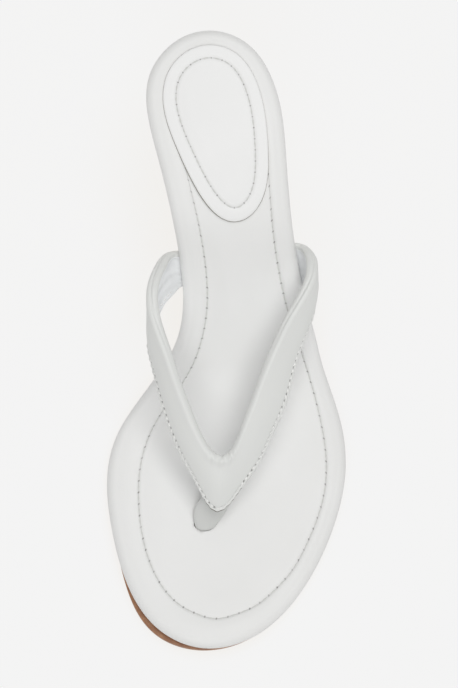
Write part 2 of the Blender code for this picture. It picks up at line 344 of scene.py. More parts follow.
def add_node(
    tree: bpy.types.NodeTree, kind: str, out: str | int, inputs: dict | None = None, **settings
) -> bpy.types.NodeSocket:
    """Adds a node.

    Args:
        tree: the node tree.
        kind: the node's type name, without the ShaderNode before it.
        out: name or number of the wanted output.
        inputs: socket name or number to a value or to an output socket.
        settings: attributes of the node.

    Returns:
        The wanted output socket.
    """
    node = tree.nodes.new(f"ShaderNode{kind}")
    for key, value in settings.items():
        setattr(node, key, value)
    plug(tree, node, inputs or {})
    return node.outputs[out]


@dataclass(frozen=True)
class Finish:
    """A finish, which makes its material once."""

    name: str

    def material(self) -> bpy.types.Material:
        """The material, made the first time it is asked for."""
        if self.name not in bpy.data.materials:
            made = bpy.data.materials.new(self.name)
            made.use_nodes = True
            tree = made.node_tree
            plug(tree, tree.nodes["Principled BSDF"], self.inputs(tree))
        return bpy.data.materials[self.name]

    def inputs(self, tree: bpy.types.NodeTree) -> dict:
        """The shader's inputs, with what feeds them.

        Args:
            tree: the material's node tree.

        Returns:
            Socket name to a value or an output socket.
        """
        raise NotImplementedError


@dataclass(frozen=True)
class Nappa(Finish):
    """Drum-dyed nappa with a pigment coat: matt, with a fine pebbled grain and soft cloudiness."""

    light: str = "eaeae9"
    dark: str = "e5e5e3"
    hole_shade: str = "6a6864"
    roughness: float = 0.5
    grain_mm: float = 0.75
    pore_mm: float = 0.28
    grain_depth_mm: float = 0.035
    cloud_mm: float = 26.0
    pitch_mm: float = 0.0
    hole_mm: float = 0.62
    line_mm: float = 0.4
    line_strength: float = 0.3

    def inputs(self, tree: bpy.types.NodeTree) -> dict:
        """Cloudy colour, with painted shade in the needle holes and along the seam, and the grain
        as relief.
        """
        place = add_node(tree, "TexCoord", "Object")
        cloud = {"Vector": place, "Scale": repeats(self.cloud_mm), "Detail": 2.0}
        cloud = add_node(tree, "TexNoise", "Fac", cloud)
        colour = {"Factor": cloud, 6: linear(self.light), 7: linear(self.dark)}
        colour = add_node(tree, "Mix", 2, colour, data_type="RGBA")
        # Painted shade: dark spots in the needle holes and a faint line along the seam's groove.
        if self.pitch_mm:
            colour = {"Factor": self.seam_shade(tree), 6: colour, 7: linear(self.hole_shade)}
            colour = add_node(tree, "Mix", 2, colour, data_type="RGBA")
        grain = {"Vector": place, "Scale": repeats(self.grain_mm)}
        grain = add_node(tree, "TexVoronoi", "Distance", grain, feature="SMOOTH_F1")
        pores = {"Vector": place, "Scale": repeats(self.pore_mm), "Detail": 2.0}
        pores = add_node(tree, "TexNoise", "Fac", pores)
        height = add_node(tree, "Math", 0, {0: grain, 1: pores}, operation="ADD")
        depth = self.grain_depth_mm * MM
        sheen = {"To Min": self.roughness - 0.05, "To Max": self.roughness + 0.07}
        return {
            "Base Color": colour,
            "Normal": add_node(
                tree, "Bump", "Normal", {"Height": height, "Strength": 0.35, "Distance": depth}
            ),
            "Roughness": add_node(tree, "MapRange", "Result", {"Value": pores, **sheen}),
            "Specular IOR Level": 0.42,
        }

    def seam_shade(self, tree: bpy.types.NodeTree) -> bpy.types.NodeSocket:
        """Share of painted shade: a faint shaded line along the seam and a dark shaded spot in each
        needle hole.

        Args:
            tree: the material's node tree.

        Returns:
            The share, as an output socket.
        """
        uv = add_node(tree, "UVMap", "UV", uv_map=UV_NAME)
        run = add_node(tree, "SeparateXYZ", "X", {"Vector": uv})
        off = add_node(tree, "SeparateXYZ", "Y", {"Vector": uv})
        # PINGPONG runs 0 to the scale and back, so half the pitch gives the distance to a hole.
        step = add_node(tree, "Math", 0, {0: run, 1: self.pitch_mm / 2}, operation="PINGPONG")
        near = add_node(tree, "CombineXYZ", "Vector", {"X": step, "Y": off})
        away = add_node(tree, "VectorMath", "Value", {0: near}, operation="LENGTH")
        # Some needle holes get deeper painted shade than others.
        uneven = add_node(tree, "TexNoise", "Fac", {"Vector": uv, "Scale": 0.23, "Detail": 0.0})
        strong = {"Value": uneven, "From Min": 0.3, "From Max": 0.6, "To Min": 0.6}
        strong = add_node(tree, "MapRange", "Result", strong)
        off = add_node(tree, "Math", 0, {0: off}, operation="ABSOLUTE")
        spot, line = (
            add_node(
                tree,
                "MapRange",
                "Result",
                {"Value": distance, "From Min": reach, "From Max": 0.0, "To Max": most},
                interpolation_type="SMOOTHSTEP",
            )
            for distance, reach, most in (
                (away, self.hole_mm, strong),
                (off, self.line_mm, self.line_strength),
            )
        )
        return add_node(tree, "Math", 0, {0: spot, 1: line}, operation="MAXIMUM")


@dataclass(frozen=True)
class SoleLeather(Finish):
    """Vegetable tanned sole leather: tan, waxed and burnished, with faint darker fibres."""

    light: str = "b98a66"
    dark: str = "8f6144"
    roughness: float = 0.42
    fibre_mm: float = 3.0
    scuff_mm: float = 9.0

    def inputs(self, tree: bpy.types.NodeTree) -> dict:
        """Two scales of brown, with a fine fibre relief."""
        place = add_node(tree, "TexCoord", "Object")
        fibre, scuff = (
            add_node(
                tree, "TexNoise", "Fac", {"Vector": place, "Scale": repeats(size), "Detail": detail}
            )
            for size, detail in ((self.fibre_mm, 6.0), (self.scuff_mm, 3.0))
        )
        share = add_node(tree, "Math", 0, {0: fibre, 1: scuff}, operation="MULTIPLY")
        share = {"Value": share, "From Min": 0.12, "From Max": 0.42}
        share = add_node(tree, "MapRange", "Result", share)
        colour = {"Factor": share, 6: linear(self.dark), 7: linear(self.light)}
        relief = {"Height": fibre, "Strength": 0.3, "Distance": 0.08 * MM}
        return {
            "Base Color": add_node(tree, "Mix", 2, colour, data_type="RGBA"),
            "Normal": add_node(tree, "Bump", "Normal", relief),
            "Roughness": self.roughness,
        }


@dataclass(frozen=True)
class Thread(Finish):
    """Bonded polyester thread, white, with its twist as a fine slanted relief."""

    colour: str = "cfd0cc"
    twist_mm: float = 0.45

    def inputs(self, tree: bpy.types.NodeTree) -> dict:
        """One colour, with the twist as relief."""
        place = add_node(tree, "TexCoord", "Object")
        twist = {"Vector": place, "Scale": 1 / (6.28 * self.twist_mm * MM), "Distortion": 1.5}
        twist = add_node(tree, "TexWave", "Fac", twist, bands_direction="DIAGONAL")
        relief = {"Height": twist, "Strength": 0.4, "Distance": 0.05 * MM}
        return {
            "Base Color": linear(self.colour),
            "Normal": add_node(tree, "Bump", "Normal", relief),
            "Roughness": 0.6,
        }


@dataclass(frozen=True)
class RawEdgeShade(Finish):
    """Cut edge of white nappa: grey-brown fibres and cement, a thin dark line round the leather
    that also paints the contact shade where it meets its neighbours.
    """

    light: str = "bab7b0"
    dark: str = "908c84"
    fibre_mm: float = 1.6

    def inputs(self, tree: bpy.types.NodeTree) -> dict:
        """Fibres in two tones, quite matt."""
        place = add_node(tree, "TexCoord", "Object")
        fibre = {"Vector": place, "Scale": repeats(self.fibre_mm), "Detail": 3.0}
        fibre = add_node(tree, "TexNoise", "Fac", fibre)
        colour = {"Factor": fibre, 6: linear(self.light), 7: linear(self.dark)}
        return {"Base Color": add_node(tree, "Mix", 2, colour, data_type="RGBA"), "Roughness": 0.85}


@dataclass(frozen=True)
class MouldedRubber(Finish):
    """Moulded thermoplastic rubber of a heel's top piece: off-white and finely matt."""

    colour: str = "dcd9d2"
    speck_mm: float = 0.5

    def inputs(self, tree: bpy.types.NodeTree) -> dict:
        """One colour, with the mould's fine texture as relief and in the gloss."""
        place = add_node(tree, "TexCoord", "Object")
        speck = {"Vector": place, "Scale": repeats(self.speck_mm), "Detail": 3.0}
        speck = add_node(tree, "TexNoise", "Fac", speck)
        rough = {"Value": speck, "To Min": 0.55, "To Max": 0.75}
        relief = {"Height": speck, "Strength": 0.3, "Distance": 0.04 * MM}
        return {
            "Base Color": linear(self.colour),
            "Normal": add_node(tree, "Bump", "Normal", relief),
            "Roughness": add_node(tree, "MapRange", "Result", rough),
        }


@dataclass(frozen=True)
class PaperSweep(Finish):
    """Seamless white paper, lit from behind too: shadows on it stay faint and a little warm."""

    base: tuple[float, float, float, float] = (0.05, 0.08, 0.13, 1.0)
    glow: tuple[float, float, float, float] = (0.857, 0.828, 0.780, 1.0)

    def inputs(self, tree: bpy.types.NodeTree) -> dict:
        """A dead matt base that glows of itself."""
        return {
            "Base Color": self.base,
            "Roughness": 1.0,
            "Specular IOR Level": 0.0,
            "Emission Color": self.glow,
            "Emission Strength": 1.0,
        }


# ---- The last and its outlines ----


@dataclass
class Last:
    """The bent bottom line of the footbed, which every sole piece is laid on."""

    slopes: tuple[Slope, ...] = (
        Slope(0, -9),
        Slope(35, 0),
        Slope(78, 0),
        Slope(118, 42),
        Slope(154, 42),
        Slope(194, 14),
        Slope(232, 9),
    )
    lift: float = 2.8
    step: float = 0.1

    def __post_init__(self) -> None:
        """Adds the slopes up to a line."""
        self.along = np.arange(0, self.slopes[-1].along + self.step / 2, self.step)
        degrees = np.zeros(len(self.along))
        for a, b in zip(self.slopes[:-1], self.slopes[1:]):
            span = (self.along >= a.along) & (self.along <= b.along)
            share = smooth((self.along[span] - a.along) / (b.along - a.along))
            degrees[span] = between(a.degrees, b.degrees, share)
        self.slope = np.radians(degrees)
        middle = (self.slope[1:] + self.slope[:-1]) / 2
        self.y = np.concatenate([[0], np.cumsum(np.cos(middle) * self.step)])
        z = np.concatenate([[0], np.cumsum(np.sin(middle) * self.step)])
        self.z = z - z.min() + self.lift
        self.centre = (self.y[0] + self.y[-1]) / 2

    def y_of(self, along: Array) -> Array:
        """Distance from the toe tip along the floor."""
        return np.interp(along, self.along, self.y)

    def place(self, along: Array, across: Array, height: Array) -> Array:
        """Points given along, across and square to the bottom line, in metres.

        Args:
            along: lengths from the toe along the bottom line.
            across: distances from the centre line.
            height: distances from the bottom line.

        Returns:
            The points.
        """
        slope = np.interp(along, self.along, self.slope)
        y = self.y_of(along) - height * np.sin(slope)
        z = np.interp(along, self.along, self.z) + height * np.cos(slope)
        return self.from_toe(across, y, z)

    def from_toe(self, across: Array, y: Array, z: Array) -> Array:
        """Points given from the centre line, the toe tip and the floor, in metres."""
        across, y, z = np.broadcast_arrays(across, y, z)
        return np.stack([across, y - self.centre, z], axis=-1) * MM

    def up(self, along: Array) -> Array:
        """Directions square to the bottom line."""
        slope = np.interp(along, self.along, self.slope)
        return np.stack([np.zeros_like(slope), -np.sin(slope), np.cos(slope)], axis=-1)


@dataclass
class Outline:
    """A closed outline laid out flat.

    A lap angle goes round it: 0 at the toe, pi at the heel by the inner side, and on to 2 pi by
    the outer side. Its points are pairs of arrays: along and across.
    """

    widths: tuple[Width, ...]
    nudge: float = 0.004

    def __post_init__(self) -> None:
        """Fits the two sides."""
        self.start = self.widths[0].along
        self.length = self.widths[-1].along - self.start
        turns = [float(self.turn_of(w.along)) for w in self.widths]
        self.inner = natural_spline(turns, [w.inner for w in self.widths])
        self.outer = natural_spline(turns, [w.outer for w in self.widths])

    def turn_of(self, along: Array) -> Array:
        """Angle of a half circle drawn over the length."""
        return np.arccos(np.clip(1 - 2 * (along - self.start) / self.length, -1, 1))

    def at(self, lap: Array) -> Array:
        """The outline's points at lap angles.

        Args:
            lap: lap angles.

        Returns:
            Their lengths along and distances across.
        """
        lap = np.mod(lap, TURN)
        turn = np.where(lap <= np.pi, lap, TURN - lap)
        along = self.start + self.length * (1 - np.cos(turn)) / 2
        return np.stack([along, np.where(lap <= np.pi, self.inner(turn), self.outer(turn))])

    def inside(self, lap: Array, inset: Array) -> Array:
        """The outline's points moved inwards along its normal.

        Args:
            lap: lap angles.
            inset: distances inwards.

        Returns:
            Their lengths along and distances across.
        """
        run, rise = self.at(lap + self.nudge) - self.at(lap - self.nudge)
        reach = np.hypot(run, rise)
        along, across = self.at(lap)
        return np.stack([along - inset * rise / reach, across + inset * run / reach])

    def middle(self, along: Array) -> Array:
        """Half way between the two edges."""
        turn = self.turn_of(along)
        return (self.inner(turn) + self.outer(turn)) / 2

    def spine(self, share: Array, start: float, end: float) -> Array:
        """Points of the line in the middle where the rings close, at shares of its length."""
        along = between(start, end, share)
        return np.stack([along, self.middle(along)])

    def lap_of(self, along: float, side: Side) -> float:
        """Lap angle of a length along one side."""
        turn = float(self.turn_of(along))
        return turn if side is Side.INNER else TURN - turn


FOOTBED_OUTLINE = (
    Width(1.1, -5.8, -5.8),
    Width(3, -15.6, 4.6),
    Width(8, -24.0, 13.9),
    Width(18, -32.1, 24.0),
    Width(32, -38.0, 33.0),
    Width(48, -41.7, 39.7),
    Width(64, -42.9, 43.3),
    Width(80, -39.1, 42.8),
    Width(93, -31.5, 39.6),
    Width(108, -22.2, 34.8),
    Width(120, -17.7, 31.8),
    Width(133, -16.3, 28.2),
    Width(148, -17.4, 24.8),
    Width(165, -20.3, 21.7),
    Width(185, -25.4, 19.3),
    Width(205, -30.2, 17.0),
    Width(216, -29.4, 13.5),
    Width(223, -25.6, 9.5),
    Width(229, -18.9, 2.8),
    Width(232, -8.0, -8.0),
)

# The stitched line on the footbed. It runs on under the heel pad.
SEAM_OUTLINE = (
    Width(11.4, -3.5, -3.5),
    Width(12.6, -9.0, 2.0),
    Width(15.5, -15.0, 9.0),
    Width(21.9, -21.8, 17.0),
    Width(30.4, -26.6, 24.2),
    Width(41.0, -29.9, 29.8),
    Width(57.0, -31.6, 35.3),
    Width(72.9, -29.8, 36.1),
    Width(86.0, -24.3, 34.1),
    Width(103.0, -14.8, 30.2),
    Width(115.0, -10.5, 26.7),
    Width(133.0, -7.8, 21.0),
    Width(149.0, -8.6, 17.3),
    Width(165.0, -11.3, 14.6),
    Width(185.0, -16.7, 12.4),
    Width(205.0, -20.6, 9.2),
    Width(216.0, -17.8, 4.6),
    Width(223.0, -8.0, -8.0),
)

PAD_OUTLINE = (
    Width(167.5, 0.9, 0.9),
    Width(170.5, -6.2, 7.6),
    Width(179, -13.2, 11.9),
    Width(191, -19.6, 12.4),
    Width(205, -24.3, 10.8),
    Width(216, -23.3, 7.2),
    Width(223, -18.0, 1.8),
    Width(226.5, -8.1, -8.1),
)

LAST = Last()
FOOTBED = Outline(FOOTBED_OUTLINE)
SEAM = Outline(SEAM_OUTLINE)
PAD = Outline(PAD_OUTLINE)


# ---- Stitches ----


@dataclass
class StitchRow:
    """A row of lockstitches: each is a short thread that dives into a hole at both ends."""

    pitch: float
    share: float = 0.72
    radius: float = 0.28
    dive: float = 0.42
    rise: float = 0.02
    sway: float = 0.05
    segments: int = 8
    rings: int = 6

    def sew(self, bm: bmesh.types.BMesh, line: Array, up: Array, seed: int) -> None:
        """Adds stitches along a line.

        Args:
            bm: the mesh that takes them.
            line: close points along the seam, in metres.
            up: the surface's outward direction at each point.
            seed: makes each row's small unevenness its own.
        """
        run = run_of(line)
        count = max(1, round(run[-1] / self.pitch))
        pitch = run[-1] / count
        half = pitch * self.share / 2
        uneven = np.random.default_rng(seed)
        for i in range(count):
            middle = (i + 0.5) * pitch
            a, b, c, n = (
                np.array([np.interp(s, run, rows[:, k]) for k in range(3)])
                for s, rows in (
                    (middle - half, line),
                    (middle, line),
                    (middle + half, line),
                    (middle, up),
                )
            )
            n, ahead = unit(n), unit(c - a)
            side = unit(np.cross(n, ahead))
            ahead = unit(ahead + side * uneven.normal(0, self.sway))
            side = unit(np.cross(n, ahead))
            made = bmesh.ops.create_uvsphere(
                bm, u_segments=self.segments, v_segments=self.rings, radius=1.0
            )
            for vert in made["verts"]:
                x, y, z = vert.co
                lift = y * self.radius + self.rise - self.dive * z * z
                vert.co = Vector(b + (ahead * z * half + side * x * self.radius + n * lift) * MM)


# ---- Footbed ----


@dataclass
class Footbed(Laid):
    """Padded insole wrapped in nappa: rolled rim, stitched line and a soft field inside it."""

    thickness: float = 6.5
    columns: int = 720
    roll_rows: int = 16
    band_rows: int = 9
    field_rows: int = 44
    groove_depth: float = 0.32
    groove_width: float = 0.5
    groove_reach: float = 2.0
    groove_rows: int = 8
    groove_fade: float = 8.0
    band_crown: float = 0.35
    field_puff: float = 0.55
    field_rise: float = 9.0
    flat_from: float = 150.0
    flat_fade: float = 22.0
    spine_ends: tuple[float, float] = (34.0, 200.0)
    pitch: float = 4.2
    pad_covers_from: float = 173.0
    ball: Dish = Dish(-0.9, 62, 30, 2, 24)
    arch: Dish = Dish(0.35, 122, 22, 6, 12)
    toes: Dish = Dish(-0.35, 30, 12, -2, 20)
    pocket_top: float = 2.3
    pocket_room: float = 0.1
    pocket_fade: float = 0.6
    pocket_narrows: float = 0.5
    pocket_reach: float = 12.0
    pocket_end: float = 2.0
    post_x: float = -7.8
    post_y: float = 46.3
    post_across: float = 7.4
    post_along: float = 5.2
    post_pull: float = 0.45
    post_pull_reach: float = 5.5
    slot_depth: float = 4.0
    slot_floor: float = 4.5
    slot_wall: float = 0.24
    slot_foot: float = 0.985
    slot_lip: float = 1.03

    def __post_init__(self) -> None:
        """Measures the seam once round."""
        self.laps = np.linspace(0, TURN, 4001)
        self.run = run_of(LAST.place(*SEAM.at(self.laps), self.thickness))
        self.true_pitch = self.run[-1] / round(self.run[-1] / self.pitch)

    def rings(self) -> list[tuple[Zone, float]]:
        """The rings from the middle of the underside round to the middle of the top."""
        near = np.linspace(-1, 1, 2 * self.groove_rows + 1)
        zones = {
            Zone.UNDER: [1.0, 0.5, 0.2],
            Zone.ROLL: np.linspace(-90, 90, self.roll_rows),
            Zone.BAND: np.linspace(0, 1, self.band_rows + 1)[1:-1],
            Zone.SEAM: near * np.abs(near) ** 0.3 * self.groove_reach,
            Zone.FIELD: np.linspace(0, 1, self.field_rows + 1)[1:],
        }
        return [(zone, value) for zone, values in zones.items() for value in values]

    def ring(self, zone: Zone, value: float, lap: Array) -> tuple[Array, ...]:
        """One ring of the cover.

        Args:
            zone: the part of the section that it lies in.
            value: its place there: a share, the roll's angle or the distance from the seam.
            lap: its lap angles.

        Returns:
            (points laid out flat, height, distance inwards from the seam).
        """
        radius = self.thickness / 2
        seam, rim = SEAM.at(lap), FOOTBED.inside(lap, radius)
        spine = FOOTBED.spine((1 - np.cos(lap)) / 2, *self.spine_ends)
        if zone is Zone.UNDER:
            return between(rim, spine, value), 0.0, -20.0
        if zone is Zone.ROLL:
            angle = np.radians(value)
            at = FOOTBED.inside(lap, radius * (1 - np.cos(angle)))
            return at, radius * (1 + np.sin(angle)), -np.hypot(*(at - seam))
        band, depth = np.hypot(*(seam - rim)), np.hypot(*(spine - seam))
        if zone is Zone.BAND:
            share = value * (1 - self.groove_reach / band)
            at, off = between(rim, seam, share), -band * (1 - share)
        elif zone is Zone.SEAM and value <= 0:
            at, off = between(rim, seam, 1 + value / band), value
        else:
            start = self.groove_reach / depth
            share = value / depth if zone is Zone.SEAM else between(start, 1, value)
            at, off = between(seam, spine, share), depth * share
        return at, self.thickness + self.top_relief(*at, off, band), off

    def top_relief(
        self, along: Array, across: Array, off: Array, band: Array
    ) -> Array:
        """Height of the top over a flat one: crowned band, groove, puffed and dished field.

        Args:
            along: lengths along the footbed.
            across: distances across it.
            off: distances inwards from the seam.
            band: width from the rim to the seam.

        Returns:
            The heights in mm.
        """
        crown = self.band_crown * np.sin(np.pi * np.clip(1 + off / band, 0, 1)) * (off < 0)
        foot = np.hypot(across - self.post_x, LAST.y_of(along) - self.post_y)
        field = self.field_puff - self.post_pull * bump(foot, self.post_pull_reach)
        for dish in (self.ball, self.arch, self.toes):
            soft = bump(along - dish.along, dish.length) * bump(across - dish.across, dish.width)
            field = field + dish.lift * soft
        # The field flattens out under the heel, and the groove ends under the heel pad.
        flat = smooth((along - self.flat_from) / self.flat_fade)
        inside = smooth(off / self.field_rise) * (1 - flat)
        open_part = 1 - smooth((along - self.pad_covers_from) / self.groove_fade)
        groove = self.groove_depth * bump(off, self.groove_width) * open_part
        return crown + inside * field - groove

    def pockets(self, along: Array, across: Array, height: Array) -> Array:
        """Heights, lifted on the underside over the two strap ends.

        Args:
            along: lengths along the footbed.
            across: distances across it.
            height: heights of a ring's points.

        Returns:
            The new heights.
        """
        for tab in (INNER_TAB, OUTER_TAB):
            heel_end = tab.heel_side - self.pocket_narrows
            inside = np.minimum(along - tab.toe_side, heel_end - along) + self.pocket_room
            share = smooth(0.5 + inside / self.pocket_fade)
            out = np.sign(tab.edge) * (across - tab.edge)
            share = share * smooth((out + self.pocket_reach) / self.pocket_end)
            height = between(height, np.maximum(height, self.pocket_top), share)
        return height

    def from_post(self, points: Array) -> tuple[Array, Array, Array]:
        """(x, y) from the middle of the slot, and the distance where its edge is 1.

        Args:
            points: points in metres.

        Returns:
            Offsets in mm, and distance as a share of the slot's own radius.
        """
        x = points[..., 0] / MM - self.post_x
        y = points[..., 1] / MM + LAST.centre - self.post_y
        return x, y, np.hypot(x / (self.post_across / 2), y / (self.post_along / 2))

    def slot(self, points: Array) -> Array:
        """Sinks the top into a crisp oval slot where the toe post goes in.

        Args:
            points: points of the field in metres.

        Returns:
            The points, moved.
        """
        x, y, reach = self.from_post(points)
        wall, sunk = np.abs(reach - 1) < self.slot_wall, reach < 1
        factor = np.where(sunk, self.slot_foot, self.slot_lip) / np.maximum(reach, 1e-6)
        moved = points.copy()
        moved[wall, 0] = (self.post_x + x[wall] * factor[wall]) * MM
        moved[wall, 1] = (self.post_y - LAST.centre + y[wall] * factor[wall]) * MM
        moved[sunk, 2] -= self.slot_depth * MM
        return moved

    def lay(self, column: Array, zone: Zone, value: float) -> tuple[Array, ...]:
        """A ring's points, run along the seam and distance from it."""
        lap = column / self.columns * TURN
        at, height, off = self.ring(zone, value, lap)
        points = LAST.place(*at, self.pockets(*at, height))
        if zone is Zone.FIELD:
            points = self.slot(points)
        return points, np.interp(lap, self.laps, self.run), off

    def build(self) -> None:
        """Makes the footbed and its stitches."""
        bm = self.grid("footbed")
        for face in bm.faces:
            middle = np.array(face.calc_center_median())
            # The slot is cut through the cover, so its walls are bare; their dark cut-edge colour
            # also paints the shade down in the slot round the post.
            bare = self.from_post(middle)[2] < 1.015 and middle[2] > self.slot_floor * MM
            face.material_index = int(bare)
        leather = Nappa("nappa_footbed", pitch_mm=self.true_pitch)
        footbed = finished("footbed", bm, leather, RawEdgeShade("nappa_slot_edge_shade"))
        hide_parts("insole")
        self.stitch()

    def stitch(self) -> None:
        """Sews the line that shows, from pad to pad round the toe."""
        shows = self.laps[SEAM.at(self.laps)[0] < self.pad_covers_from]
        # Both ends move to a hole, so that the stitches fall between the marked holes.
        first = self.to_hole(shows[shows > np.pi][0])
        last = self.to_hole(shows[shows <= np.pi][-1])
        bm = bmesh.new()
        for start, end, seed in ((0.0, last, 3), (first, TURN, 5)):
            at = SEAM.at(np.linspace(start, end, 1500))
            high = self.thickness + self.top_relief(*at, np.zeros(1500), 1.0)
            StitchRow(self.true_pitch).sew(bm, LAST.place(*at, high), LAST.up(at[0]), seed)
        thread = finished("footbed_stitches", bm, Thread("thread_white"))

    def to_hole(self, lap: float) -> float:
        """The lap angle of the nearest needle hole."""
        run = float(np.interp(lap, self.laps, self.run))
        return float(np.interp(round(run / self.true_pitch) * self.true_pitch, self.run, self.laps))


# ---- Heel pad ----


@dataclass
class HeelPad(Laid):
    """Heel sock: a thin nappa shape stitched round, its edge standing proud. It is left bare."""

    bottom: float = 6.62
    thickness: float = 1.05
    seam_inset: float = 4.55
    groove_depth: float = 0.3
    groove_width: float = 0.55
    puff: float = 0.3
    rim_crown: float = 0.12
    columns: int = 420
    field_rows: int = 16
    spine_ends: tuple[float, float] = (186.0, 208.0)
    pitch: float = 3.9
    raw_edge: float = 0.04
    shadow_edge_toe: float = 0.3
    field_inset: float = 1.0

    def __post_init__(self) -> None:
        """Measures its seam once round."""
        self.laps = np.linspace(0, TURN, 3001)
        self.seam = PAD.inside(self.laps, self.seam_inset)
        self.run = run_of(LAST.place(*self.seam, self.bottom))
        self.true_pitch = self.run[-1] / round(self.run[-1] / self.pitch)

    def rings(self) -> list[tuple[Kind, float, float]]:
        """(kind, inset or share, height) from the underside round to the middle of the top."""
        t = self.thickness
        insets = [1.1, 1.9, 2.7, 3.3, *(self.seam_inset + np.linspace(-1, 1, 11))]
        return [
            (Kind.SPINE, 1.0, 0.0),
            (Kind.INSET, 3.0, 0.0),
            (Kind.INSET, 0.25, 0.0),
            (Kind.RAW, 0.6, -0.1),
            (Kind.RAW, 1.0, 0.1),
            (Kind.RAW, 0.9, t * 0.45),
            (Kind.INSET, 0.0, t * 0.55),
            (Kind.INSET, 0.03, t * 0.8),
            (Kind.INSET, 0.18, t * 0.95),
            (Kind.INSET, 0.5, t),
            *((Kind.INSET, inset, t) for inset in insets),
            *((Kind.SPINE, share, t) for share in np.linspace(0, 1, self.field_rows + 1)[1:]),
        ]

    def lay(
        self, column: Array, kind: Kind, value: float, height: float
    ) -> tuple[Array, ...]:
        """A ring's points, run along the seam and distance from it."""
        lap = column / self.columns * TURN
        inset = value if kind is Kind.INSET else self.seam_inset + self.field_inset
        if kind is Kind.RAW:
            # The dark cut edge slopes out on to the footbed, most at the toe end and along the
            # inner side, where it paints the pad's contact shadow.
            toe_end = bump((lap + np.pi) % TURN - np.pi - 0.35, 1.25)
            inset = -value * (self.raw_edge + self.shadow_edge_toe * toe_end)
        at, off = PAD.inside(lap, inset), inset - self.seam_inset
        if kind is Kind.SPINE:
            spine = PAD.spine((1 - np.cos(lap)) / 2, *self.spine_ends)
            off = off + np.hypot(*(spine - at)) * value
            at = between(at, spine, value)
        high = self.bottom + height + (self.top_relief(off) if height == self.thickness else 0)
        return LAST.place(*at, high), np.interp(lap, self.laps, self.run), off

    def top_relief(self, off: Array) -> Array:
        """Soft puff on both sides of the seam's groove."""
        rim = self.rim_crown * np.sin(np.pi * np.clip(1 + off / self.seam_inset, 0, 1))
        return rim + self.puff * smooth(off / 5) - self.groove_depth * bump(off, self.groove_width)

    def build(self) -> None:
        """Makes the pad and its stitches."""
        bm = self.grid("heel_sock")
        layer = bm.loops.layers.uv[UV_NAME]
        # The cut edge and the flange set out past it take the dark raw-edge colour: partly the real
        # cut edge and cement, partly painted contact shadow round the pad.
        for face in bm.faces:
            off = max(lp[layer].uv.y for lp in face.loops)
            face.material_index = int(off < 0.02 - self.seam_inset)
        leather = Nappa(
            "nappa_sock", light="eeeeed", dark="e9e9e8", pitch_mm=self.true_pitch, hole_mm=0.46
        )
        pad = finished("heel_sock", bm, leather, RawEdgeShade("nappa_raw_edge_shadow"))
        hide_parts("heel_pad")
        stitches = bmesh.new()
        line = LAST.place(*self.seam, self.bottom + self.thickness + self.top_relief(0.0))
        row = StitchRow(self.true_pitch, radius=0.26, rise=0.04)
        row.sew(stitches, line, LAST.up(self.seam[0]), 11)
        thread = finished("heel_sock_stitches", stitches, Thread("thread_white"))


# ---- Strap ----

INNER_ARM = (
    Rail(-21.0, 138.8, 43.8, -19.2, 126.4, 33.4),
    Rail(-24.4, 134.4, 48.4, -21.4, 123.2, 37.4),
    Rail(-26.8, 128.0, 52.0, -24.3, 118.6, 40.6),
    Rail(-27.6, 120.6, 53.6, -26.4, 112.4, 41.6),
    Rail(-25.7, 112.6, 53.0, -28.4, 106.4, 40.2),
    Rail(-22.1, 103.6, 50.0, -27.7, 100.6, 37.2),
    Rail(-18.2, 93.5, 45.0, -25.4, 91.8, 33.7),
    Rail(-13.8, 83.3, 39.5, -21.7, 79.5, 29.0),
    Rail(-9.9, 75.3, 35.0, -16.3, 67.6, 24.9),
    Rail(-6.1, 69.9, 32.2, -10.4, 57.6, 21.4),
)
POINT_OF_V = Rail(-2.2, 68.0, 31.2, -3.7, 49.4, 18.6)
OUTER_ARM = (
    Rail(1.2, 70.6, 32.2, 4.3, 56.8, 21.4),
    Rail(4.2, 77.6, 35.6, 10.6, 65.0, 25.5),
    Rail(7.3, 85.8, 39.8, 15.6, 75.3, 29.8),
    Rail(10.7, 95.0, 44.5, 20.2, 86.4, 34.0),
    Rail(14.7, 104.4, 48.4, 22.6, 96.6, 37.2),
    Rail(19.3, 113.8, 51.2, 25.6, 106.0, 39.6),
    Rail(24.4, 122.4, 52.4, 28.6, 114.2, 40.8),
    Rail(27.8, 130.2, 51.8, 29.6, 120.8, 40.6),
    Rail(28.2, 136.4, 49.2, 28.8, 125.6, 38.0),
    Rail(26.4, 140.8, 45.4, 27.2, 129.0, 34.4),
)
INNER_TAB = Tab(139.0, 153.5, -16.8)
OUTER_TAB = Tab(139.5, 157.0, 24.4)
LINING_MAP = 100.0  # mm added to the map of the lining, which tells it from the outside
PAUSE_MAP = LINING_MAP / 4  # added where the seam pauses, so that no painted needle-hole shade shows
